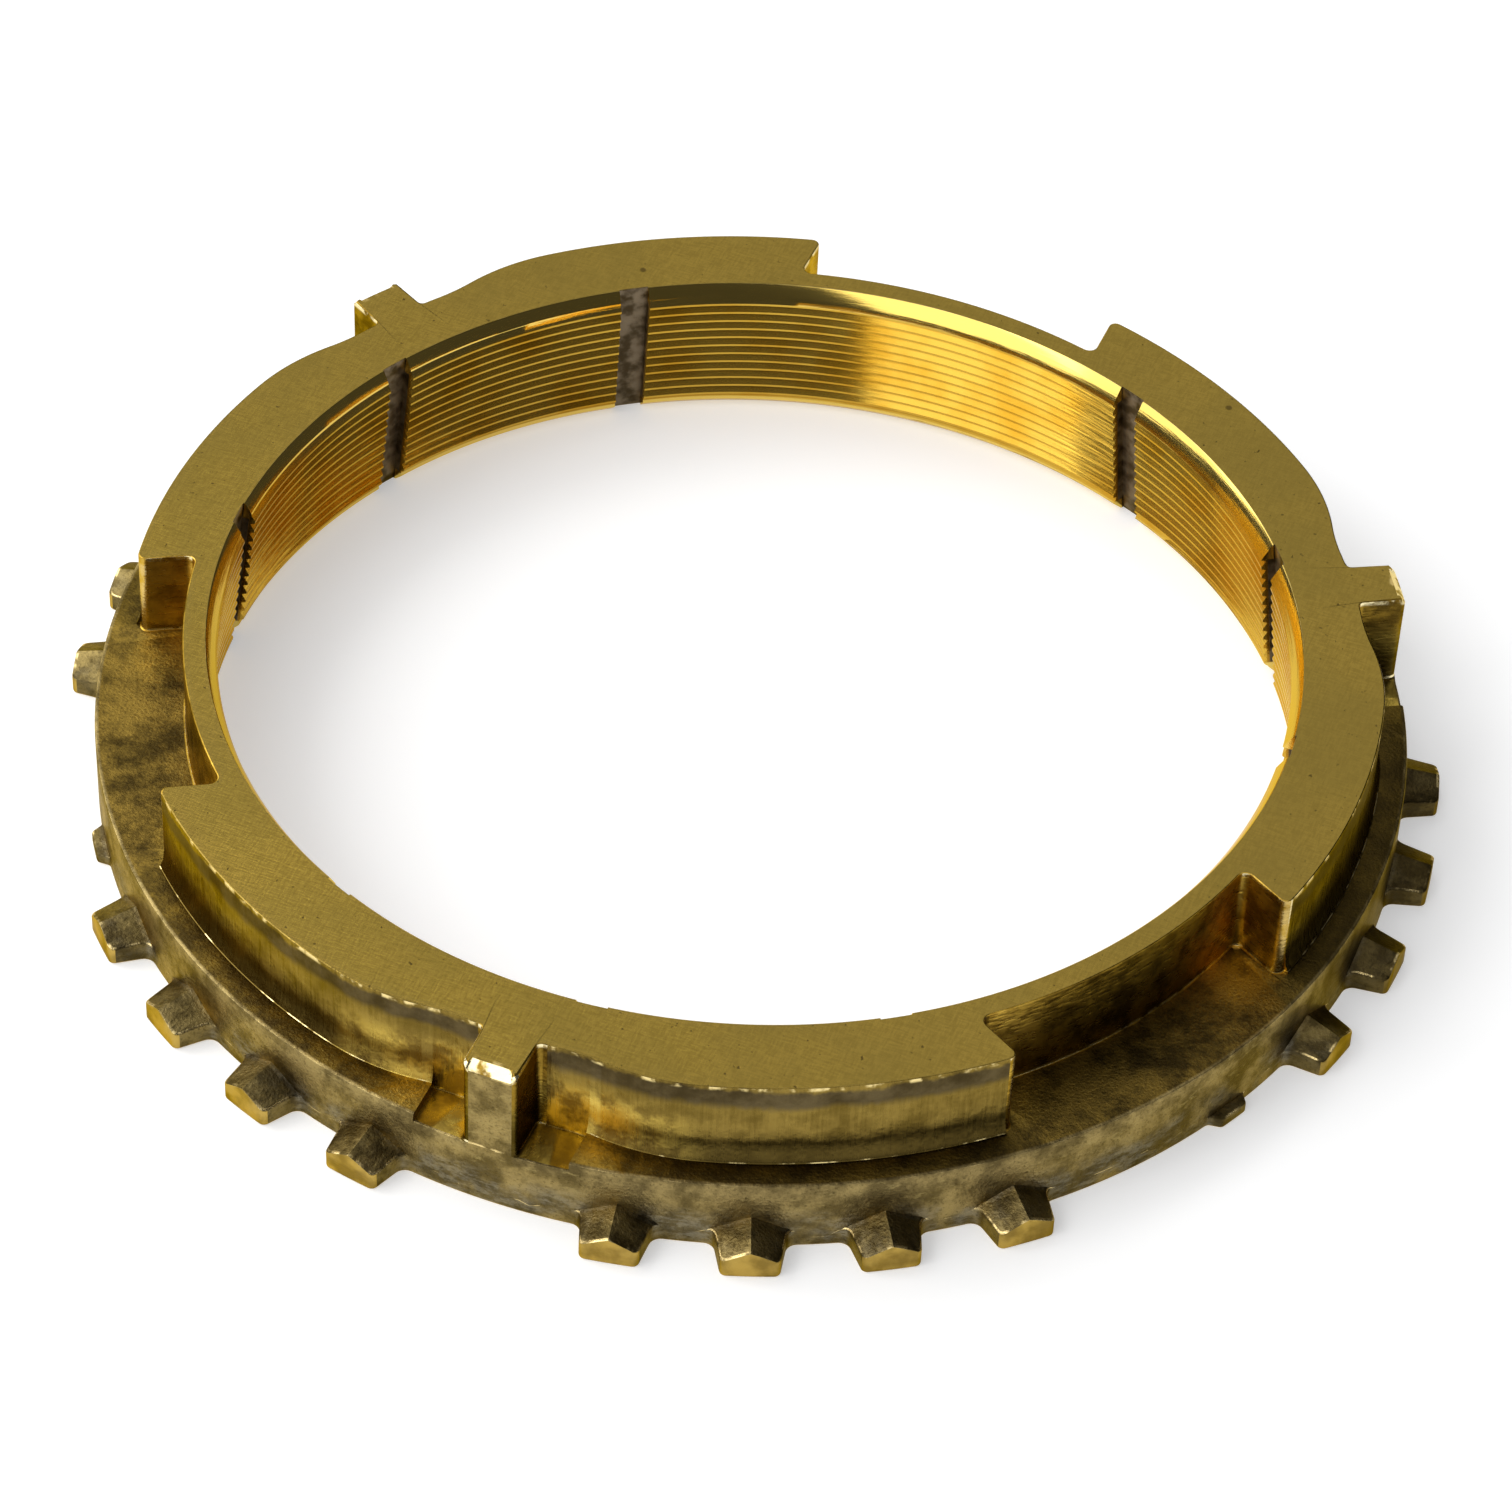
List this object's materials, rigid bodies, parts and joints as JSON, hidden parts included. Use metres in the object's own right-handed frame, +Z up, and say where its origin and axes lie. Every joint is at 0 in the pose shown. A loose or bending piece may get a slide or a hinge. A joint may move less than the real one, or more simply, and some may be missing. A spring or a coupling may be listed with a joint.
{
  "type": "synchronizer ring",
  "caption": "Brass synchronizer ring of a manual gearbox, with a threaded taper bore, oil slots, key notches, lugs and clutch teeth",
  "frame": {"origin": "Centre of the bottom face, on the axis of the tapered bore", "axes": "+Z up along the axis, from the wide end of the bore to its narrow end; one of the three lugs points along -Y and one key notch along +Y"},
  "size_m": [0.0716, 0.0701, 0.0092],
  "materials": {
    "brass": "Turned and milled faces in satin gold, forged and etched flange faces in dull grey-brown"
  },
  "bodies": {
    "root": {"synchronizer_ring": "brass"}
  },
  "joints": []
}
